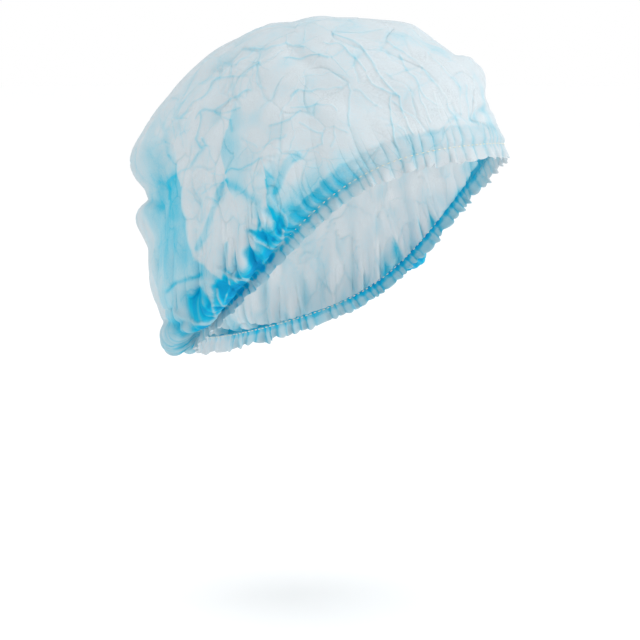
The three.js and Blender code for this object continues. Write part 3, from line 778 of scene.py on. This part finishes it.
def cloth_layers(turn, height, flat, easing, hollows, deep, creases, seen):
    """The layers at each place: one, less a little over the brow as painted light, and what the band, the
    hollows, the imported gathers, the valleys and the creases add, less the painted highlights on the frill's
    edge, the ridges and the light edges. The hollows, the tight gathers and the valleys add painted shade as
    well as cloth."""
    crease, fine = creases
    seen_layers_and_shade, painted_highlight = seen
    up, below = np.maximum(height, 0), np.maximum(-height, 0)
    away = np.abs(from_front(turn))
    ridges = tube(gather_phase(turn))
    tight = smooth_step(*TIGHT_TURNS, away)
    brow = 1 - smooth_step(*BROW_TURNS, away)
    raw_edge = HEM_TURN_UP + uneven(flat, *RAW_EDGE_WAVER) + RAW_EDGE_STEPS * tight * (ridges - TUBE_MIDDLE)
    band = 1 - smooth_step(-RAW_EDGE_SOFTNESS, RAW_EDGE_SOFTNESS, height - raw_edge)
    band *= 1 - BAND_PATCH_SHARE + BAND_PATCH_SHARE * np.tanh(uneven(flat, *BAND_PATCHES))
    band *= 1 - BAND_GAP_SHARE * np.exp(-(((from_front(turn) - BAND_GAP_AT) / BAND_GAP_WIDTH) ** 2))
    band *= 1 - BAND_LESS_ON_FRILL * smooth_step(*BAND_FRILL_FADE, below)
    # The hollows between gathers deepen the blue: partly cloth folded into them, partly painted shade.
    hollows = hollows * (1 - HOLLOW_LESS_ABOVE * smooth_step(*HOLLOW_FADE, up))
    hollows = hollows * (HOLLOW_FOLD_AND_SHADE_LAYERS + HOLLOW_MORE_WHERE_TIGHT * tight) * (1 + band) / 2
    # Painted shade, partly real: the tight gathers above the thread get extra layers, fewer towards the rear.
    packed_gathers_and_shade = tight * (1 - PACKED_LESS_AT_REAR * smooth_step(*REAR_TURNS, away))
    packed_gathers_and_shade = packed_gathers_and_shade * (1 - smooth_step(*PACKED_FADE, up + uneven(flat, *PACKED_EDGE)))
    laid = 1 - LAID_LESS_ON_FRILL * smooth_step(0, LAID_FADE, below)
    # Painted light: the cloth has fewer layers over the brow, so it is paler there.
    layers = 1 - BROW_PAINTED_LIGHT * brow + (BAND_LAYERS - BAND_LESS_AT_BROW * brow) * band + hollows
    # The painted shade of the tight gathers and of the valleys is mostly left off the frill.
    layers += (PACKED_AND_SHADE_LAYERS * packed_gathers_and_shade + deep) * laid
    layers += easing * (CREASE_LAYERS * crease + FINE_LAYERS * fine + seen_layers_and_shade)
    # The frill's lower edge is paler: a painted highlight, as fewer layers.
    layers += uneven(flat, *CHANCE_LAYERS) * easing - FRILL_EDGE_PAINTED_HIGHLIGHT * smooth_step(*FRILL_HIGHLIGHT_FADE, below)
    # Painted highlights on the ridges of the tight gathers join those of the light edges, and take layers away
    # where the cloth lies double.
    painted_highlight = painted_highlight + RIDGE_PAINTED_HIGHLIGHT * ridges ** RIDGE_HIGHLIGHT_POWER * np.exp(-((up / RIDGE_HIGHLIGHT_REACH) ** 2)) * tight
    layers -= np.minimum(painted_highlight, MOST_PAINTED_HIGHLIGHT) * np.maximum(layers - HIGHLIGHTED_DOWN_TO, 0)
    return np.maximum(layers, FEWEST_LAYERS)


RUMPLES = (0.0007, 0.03, 27)
CREASE_HEIGHT = 0.0006
FINE_HEIGHT_SHARE = 0.5
FOLDS_FULL_UP = 0.012
CINCH_DEPTH = 0.0006
CINCH_WIDTH = 0.003
RUFFLE_SHARE = 0.16
RUFFLE_LUMPS = (0.13, 0.05, 30)
POLE_EASE = 0.05


def worn_cloth(turn, height, inset=0.0):
    """The worn sheet above or below the thread, lines by columns: its points, its flat places and its layers.
    The plain sheet is moved out by its folds, gathers and creases, and down where it sags."""
    waist = Waist(turn)
    height = np.broadcast_to(height, (len(height), len(turn)))
    up, below = np.maximum(height, 0), np.maximum(-height, 0)
    place = waist.turn_at(up)
    way = way_at_length(place, up * waist.stretch)
    points = sheet_point(waist, height)
    normals = sheet_normal(turn, height)
    reach = (waist.top() - height) * waist.stretch
    flat = np.stack([reach * np.sin(turn), -reach * np.cos(turn)], -1)

    gather, hollows = gathers(turn, height)
    out, down, deep = bunching(turn, up, flat)
    crease, fine = chance_creases(flat)
    easing = smooth_step(0, FOLDS_FULL_UP, up)
    cinch = -CINCH_DEPTH * np.exp(-((height / CINCH_WIDTH) ** 2))
    ruffle = below * (RUFFLE_SHARE * np.sin(np.pi * gather_phase(turn)) + uneven(flat, *RUFFLE_LUMPS))
    relief = main_folds(place, way) + gather + cinch + out + ruffle - inset
    relief += easing * (uneven(flat, *RUMPLES) - CREASE_HEIGHT * (crease + FINE_HEIGHT_SHARE * fine))
    relief *= smooth_step(0, POLE_EASE, way + (height < 0))
    moved = points + normals * relief[..., None]
    moved[..., 2] -= down
    seen_height, seen_layers_and_shade, painted_highlight = folds_and_painted_light_at(moved, normals)
    moved += normals * (seen_height * easing * smooth_step(0, POLE_EASE, way))[..., None]
    creases, seen = (crease, fine), (seen_layers_and_shade, painted_highlight)
    return moved, flat, cloth_layers(turn, height, flat, easing, hollows, deep, creases, seen)


def sheet_object(name, points, flat, layers, finish, pole=None):
    """A sheet from a grid of points, rows by columns, closed round, with its flat places as a UV map and its
    layers as an attribute. A pole closes it past the last row."""
    rows, columns = points.shape[:2]
    corner = np.arange(rows * columns).reshape(rows, columns)
    beside = np.roll(corner, -1, axis=1)
    faces = np.stack([corner[:-1], beside[:-1], beside[1:], corner[1:]], -1).reshape(-1, 4).tolist()
    vertices, places, depth = points.reshape(-1, 3), flat.reshape(-1, 2), layers.ravel()
    if pole is not None:
        faces += np.stack([corner[-1], beside[-1], np.full(columns, rows * columns)], -1).tolist()
        vertices = np.concatenate([vertices, [pole]])
        places = np.concatenate([places, [(0, 0)]])
        depth = np.append(depth, 1.0)
    mesh = bpy.data.meshes.new(name)
    mesh.from_pydata(vertices.tolist(), [], faces)
    mesh.attributes.new("layers", "FLOAT", "POINT").data.foreach_set("value", depth.astype(np.float32))
    corners = np.empty(len(mesh.loops), np.int32)
    mesh.loops.foreach_get("vertex_index", corners)
    chart = mesh.uv_layers.new(name="flat")
    chart.data.foreach_set("uv", places[corners].astype(np.float32).ravel())
    mesh.polygons.foreach_set("use_smooth", np.ones(len(mesh.polygons), bool))
    mesh.materials.append(finish)
    piece = bpy.data.objects.new(name, mesh)
    bpy.context.scene.collection.objects.link(piece)
    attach(piece, "root")
    return piece


# The cloth's finish: its colours by layers, how much light it lets past, and its clouds, fibres and finest
# creases. Scales are repeats in a metre, and what each adds is in layers.
LAYER_COLOURS = [
    (0.83, 0.85, 0.86),
    (0.69, 0.74, 0.765),
    (0.40, 0.65, 0.735),
    (0.09, 0.54, 0.71),
    (0.0, 0.52, 0.76),
    (0.0, 0.40, 0.70),
]
PAST_ONE_LAYER = 0.11
LIGHT_THROUGH = 0.4
CLOTH_ROUGHNESS = 0.75
CLOTH_GLOSS = 0.25
CREASE_SCALE = 62
CREASE_SOFTNESS = 0.055
CREASE_BEND_SCALE = 60
CREASE_BEND = 0.012
CREASE_PATCH_SCALE = 22
CREASED_FROM, CREASED_TO = 0.45, 0.62
FIBRE_SCALE = 900
CLOUD_SCALE = 160
FINEST_LAYERS = 0.3
FIBRE_LAYERS = 0.7
CLOUD_LAYERS = 0.5
THINNEST = 0.2
FIBRE_RELIEF = 0.35
CREASE_RELIEF = -0.8
RELIEF_STRENGTH = 0.35
RELIEF_DEPTH = 0.0006


def cloth_finish(name):
    """Spunbond cloth: pale where it lies single, and deeper blue and less see-through with each layer. Fibres
    cross at random in clouds, and fine creases run through patches of the flat cloth."""
    finish = bpy.data.materials.new(name)
    finish.use_nodes = True
    tree = finish.node_tree
    tree.nodes.clear()

    def node(kind, **settings):
        made = tree.nodes.new("ShaderNode" + kind)
        for key, value in settings.items():
            setattr(made, key, value)
        return made

    def join(source, target):
        tree.links.new(source, target)

    def maths(operation, *values):
        made = node("Math", operation=operation)
        for socket, value in zip(made.inputs, values):
            if isinstance(value, (int, float)):
                socket.default_value = value
            else:
                join(value, socket)
        return made.outputs[0]

    def noise(scale, detail, vector):
        made = node("TexNoise")
        made.inputs["Scale"].default_value = scale
        made.inputs["Detail"].default_value = detail
        join(vector, made.inputs["Vector"])
        return made

    def eased(value, low, high, at_low, at_high):
        made = node("MapRange", interpolation_type="SMOOTHSTEP")
        join(value, made.inputs["Value"])
        for socket, limit in zip(("From Min", "From Max", "To Min", "To Max"), (low, high, at_low, at_high)):
            made.inputs[socket].default_value = limit
        return made.outputs["Result"]

    chart = node("UVMap", uv_map="flat").outputs[0]
    layers = node("Attribute", attribute_name="layers").outputs["Fac"]

    bent = node("VectorMath", operation="MULTIPLY_ADD")
    join(noise(CREASE_BEND_SCALE, 2, chart).outputs["Color"], bent.inputs[0])
    bent.inputs[1].default_value = (CREASE_BEND, CREASE_BEND, 0)
    join(chart, bent.inputs[2])
    cells = node("TexVoronoi", feature="DISTANCE_TO_EDGE", voronoi_dimensions="2D")
    cells.inputs["Scale"].default_value = CREASE_SCALE
    join(bent.outputs[0], cells.inputs["Vector"])
    line = eased(cells.outputs["Distance"], 0, CREASE_SOFTNESS, 1, 0)
    patches = eased(noise(CREASE_PATCH_SCALE, 1, chart).outputs["Fac"], CREASED_FROM, CREASED_TO, 0, 1)
    creases = maths("MULTIPLY", line, patches)
    fibres = noise(FIBRE_SCALE, 3, chart).outputs["Fac"]
    clouds = noise(CLOUD_SCALE, 3, chart).outputs["Fac"]

    count = maths("ADD", layers, maths("MULTIPLY", creases, FINEST_LAYERS))
    count = maths("ADD", count, maths("MULTIPLY", maths("SUBTRACT", fibres, 0.5), FIBRE_LAYERS))
    count = maths("ADD", count, maths("MULTIPLY", maths("SUBTRACT", clouds, 0.5), CLOUD_LAYERS))
    count = maths("MAXIMUM", count, THINNEST)
    opacity = maths("SUBTRACT", 1.0, maths("POWER", PAST_ONE_LAYER, count))

    shade = node("ValToRGB")
    most = len(LAYER_COLOURS) - 1
    for layer in range(1, most):
        shade.color_ramp.elements.new(layer / most)
    for stop, colour in zip(shade.color_ramp.elements, LAYER_COLOURS):
        stop.color = (*colour, 1)
    join(maths("MULTIPLY", count, 1 / most), shade.inputs["Fac"])

    relief = maths("ADD", maths("MULTIPLY", fibres, FIBRE_RELIEF), maths("MULTIPLY", creases, CREASE_RELIEF))
    bump = node("Bump")
    bump.inputs["Strength"].default_value = RELIEF_STRENGTH
    bump.inputs["Distance"].default_value = RELIEF_DEPTH
    join(relief, bump.inputs["Height"])

    surface = node("BsdfPrincipled")
    surface.inputs["Roughness"].default_value = CLOTH_ROUGHNESS
    surface.inputs["Specular IOR Level"].default_value = CLOTH_GLOSS
    through = node("BsdfTranslucent")
    for shader, socket in ((surface, "Base Color"), (through, "Color")):
        join(shade.outputs["Color"], shader.inputs[socket])
        join(bump.outputs["Normal"], shader.inputs["Normal"])
    body = node("MixShader")
    body.inputs[0].default_value = LIGHT_THROUGH
    join(surface.outputs[0], body.inputs[1])
    join(through.outputs[0], body.inputs[2])
    clear = node("BsdfTransparent")
    join(shade.outputs["Color"], clear.inputs["Color"])
    whole = node("MixShader")
    join(opacity, whole.inputs[0])
    join(clear.outputs[0], whole.inputs[1])
    join(body.outputs[0], whole.inputs[2])
    join(whole.outputs[0], node("OutputMaterial").inputs["Surface"])
    return finish


spunbond = cloth_finish("spunbond")

# The side and the top of the crown: two meshes of the one sheet, which meet on the same points. Their lines
# run up from the elastic, and lie closer together on one side.
GATHERED_TOP = 0.036
SIDE_TOP = 0.108
CROWN_COLUMNS = 792
CROWN_ROWS = 124
LAST_ROW_SHARE = 0.985
FINE_SIDE = np.radians(55)
FINENESS = 0.5


def line_turns(count):
    """The turns of a sheet's upright lines: even steps, drawn together round one side by a sine wave."""
    even = np.linspace(0, 2 * np.pi, count, endpoint=False)
    return even - FINENESS * np.sin(even - FINE_SIDE)


crown_turn = line_turns(CROWN_COLUMNS)
crown_top = Waist(crown_turn).top() * LAST_ROW_SHARE
side_share = np.linspace(0, 1, CROWN_ROWS)[:, None]
side_height = GATHERED_TOP + side_share * (SIDE_TOP - GATHERED_TOP) * np.ones_like(crown_turn)
side_points, side_flat, side_layers = worn_cloth(crown_turn, side_height)
side = sheet_object("side_cloth", side_points, side_flat, side_layers, spunbond)
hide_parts("crown")

crown_height = SIDE_TOP + side_share * (crown_top - SIDE_TOP)
crown_points, crown_flat, crown_layers = worn_cloth(crown_turn, crown_height)
crown_pole = (0, 0, CLOTH_WALL)
crown = sheet_object("crown_cloth", crown_points, crown_flat, crown_layers, spunbond, crown_pole)
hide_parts("crown")

# The gathered part of the same sheet, just above the elastic, in a finer mesh for its small gathers. Its top
# row lies on the side's first row, so that the two join without a gap.
GATHERED_COLUMNS = 2 * CROWN_COLUMNS
GATHERED_ROWS = 62
ROW_CROWDING = 1.2
gathered_turn = line_turns(GATHERED_COLUMNS)
gathered_height = (np.linspace(0, 1, GATHERED_ROWS) ** ROW_CROWDING * GATHERED_TOP)[:, None]
gathered_points, gathered_flat, gathered_layers = worn_cloth(gathered_turn, gathered_height)
gathered_points[-1, 0::2] = side_points[0]
gathered_points[-1, 1::2] = (side_points[0] + np.roll(side_points[0], -1, 0)) / 2
gathered = sheet_object("gathered_cloth", gathered_points, gathered_flat, gathered_layers, spunbond)
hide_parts("crown")

# The frill: the sheet below the elastic, which stands out in small ruffles down to its folded edge. The edge
# hangs in uneven scallops, one to each gather.
FRILL_ROWS = 18
FRILL_SHOWN = [0.0086, 0.0084, 0.0066, 0.0078, 0.009]
FRILL_RADIUS = 0.1
SCALLOP_LEAST = 0.86
SCALLOP_DEPTH = 0.2
SCALLOP_LUMPS = (0.07, 0.02, 41)
frill_place = np.stack([gathered_turn, 0 * gathered_turn], -1) * FRILL_RADIUS
scallop = SCALLOP_LEAST + SCALLOP_DEPTH * tube(gather_phase(gathered_turn))
scallop += uneven(frill_place, *SCALLOP_LUMPS)
frill_depth = round_series(FRILL_SHOWN, gathered_turn) * scallop
frill_height = -np.linspace(0, 1, FRILL_ROWS)[:, None] * frill_depth
frill_points, frill_flat, frill_layers = worn_cloth(gathered_turn, frill_height)
frill = sheet_object("frill_cloth", frill_points[::-1], frill_flat[::-1], frill_layers[::-1], spunbond)
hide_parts("frill")

# The turned hem: the sheet's edge, folded up inside the frill and the gathers, with a raw top edge. It shares
# the frill's last row, where the fold is. On the far side, where it is seen from inside, it gets more layers
# for a deeper blue: painted light coming through the cloth.
HEM_ROWS = 32
HEM_INSET = 0.0006
HEM_SHARE = 0.6
FAR_HEM_PAINTED_LIGHT_SHARE = 0.6
FAR_TURNS = np.radians([-50, -15])
hem_height = HEM_TURN_UP - np.linspace(0, 1, HEM_ROWS)[:, None] * (HEM_TURN_UP + frill_depth)
hem_points, hem_flat, hem_layers = worn_cloth(gathered_turn, hem_height, HEM_INSET)
hem_points[-1] = frill_points[-1]
far_side = 1 - smooth_step(*FAR_TURNS, from_front(gathered_turn))
hem_layers *= HEM_SHARE + FAR_HEM_PAINTED_LIGHT_SHARE * far_side
hem = sheet_object("hem_cloth", hem_points, hem_flat, hem_layers, spunbond)
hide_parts("turned_hem")

# The elastic: a thin covered thread, sewn along the waist of the gathers with small cream stitches. They sink
# between the gathers where these are tight.
STITCH_COUNT = 188
STITCH_LENGTH = 0.0018
STITCH_RADIUS = 0.0003
STITCH_SIDES = 8
STITCH_RINGS = 5
STITCH_END = 0.05
STITCH_SEAT = 0.5
STITCH_SINK = 0.0006
STITCH_SINK_TURNS = np.radians([66, 80])
THREAD_COLOUR = (0.72, 0.70, 0.60, 1)
THREAD_ROUGHNESS = 0.7


def stitches():
    """A row of small rounded stitches along the elastic: each a tube of eight sides whose radius follows a
    half circle along it, in the directions of the thread, outwards and across."""
    turn = np.linspace(0, 2 * np.pi, STITCH_COUNT, endpoint=False)
    waist = Waist(turn)
    seat = worn_cloth(turn, np.zeros((1, 1)))[0][0]
    outward = sheet_normal(turn, np.zeros((1, len(turn))))[0]
    across = np.cross(outward, waist.along)
    along = np.linspace(-1, 1, STITCH_RINGS)
    around = np.linspace(0, 2 * np.pi, STITCH_SIDES, endpoint=False)[None, :, None]
    swell = np.sqrt(np.maximum(1 - along ** 2, STITCH_END))
    ring = STITCH_RADIUS * (outward[:, None] * np.cos(around) + across[:, None] * np.sin(around))
    sunk = STITCH_SINK * smooth_step(*STITCH_SINK_TURNS, np.abs(from_front(turn)))
    centre = seat + outward * (STITCH_RADIUS * STITCH_SEAT - sunk)[:, None]
    spine = centre[:, None] + waist.along[:, None] * (along * STITCH_LENGTH / 2)[None, :, None]
    points = spine[:, :, None] + ring[:, None] * swell[None, :, None, None]
    corner = np.arange(STITCH_RINGS * STITCH_SIDES).reshape(STITCH_RINGS, STITCH_SIDES)
    beside = np.roll(corner, -1, axis=1)
    quads = np.stack([corner[:-1], beside[:-1], beside[1:], corner[1:]], -1).reshape(-1, 4)
    ends = np.stack([corner[0][::-1], corner[-1]])
    first = np.arange(STITCH_COUNT)[:, None, None] * corner.size
    faces = (first + quads).reshape(-1, 4).tolist() + (first + ends).reshape(-1, STITCH_SIDES).tolist()
    return points.reshape(-1, 3), faces


thread_finish = bpy.data.materials.new("covered_thread")
thread_finish.use_nodes = True
thread_surface = thread_finish.node_tree.nodes["Principled BSDF"]
thread_surface.inputs["Base Color"].default_value = THREAD_COLOUR
thread_surface.inputs["Roughness"].default_value = THREAD_ROUGHNESS
stitch_points, stitch_faces = stitches()
thread_mesh = bpy.data.meshes.new("elastic_stitches")
thread_mesh.from_pydata(stitch_points.tolist(), [], stitch_faces)
thread_mesh.materials.append(thread_finish)
thread_mesh.polygons.foreach_set("use_smooth", np.ones(len(thread_mesh.polygons), bool))
thread = bpy.data.objects.new("elastic_stitches", thread_mesh)
bpy.context.scene.collection.objects.link(thread)
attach(thread, "root")
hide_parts("elastic")
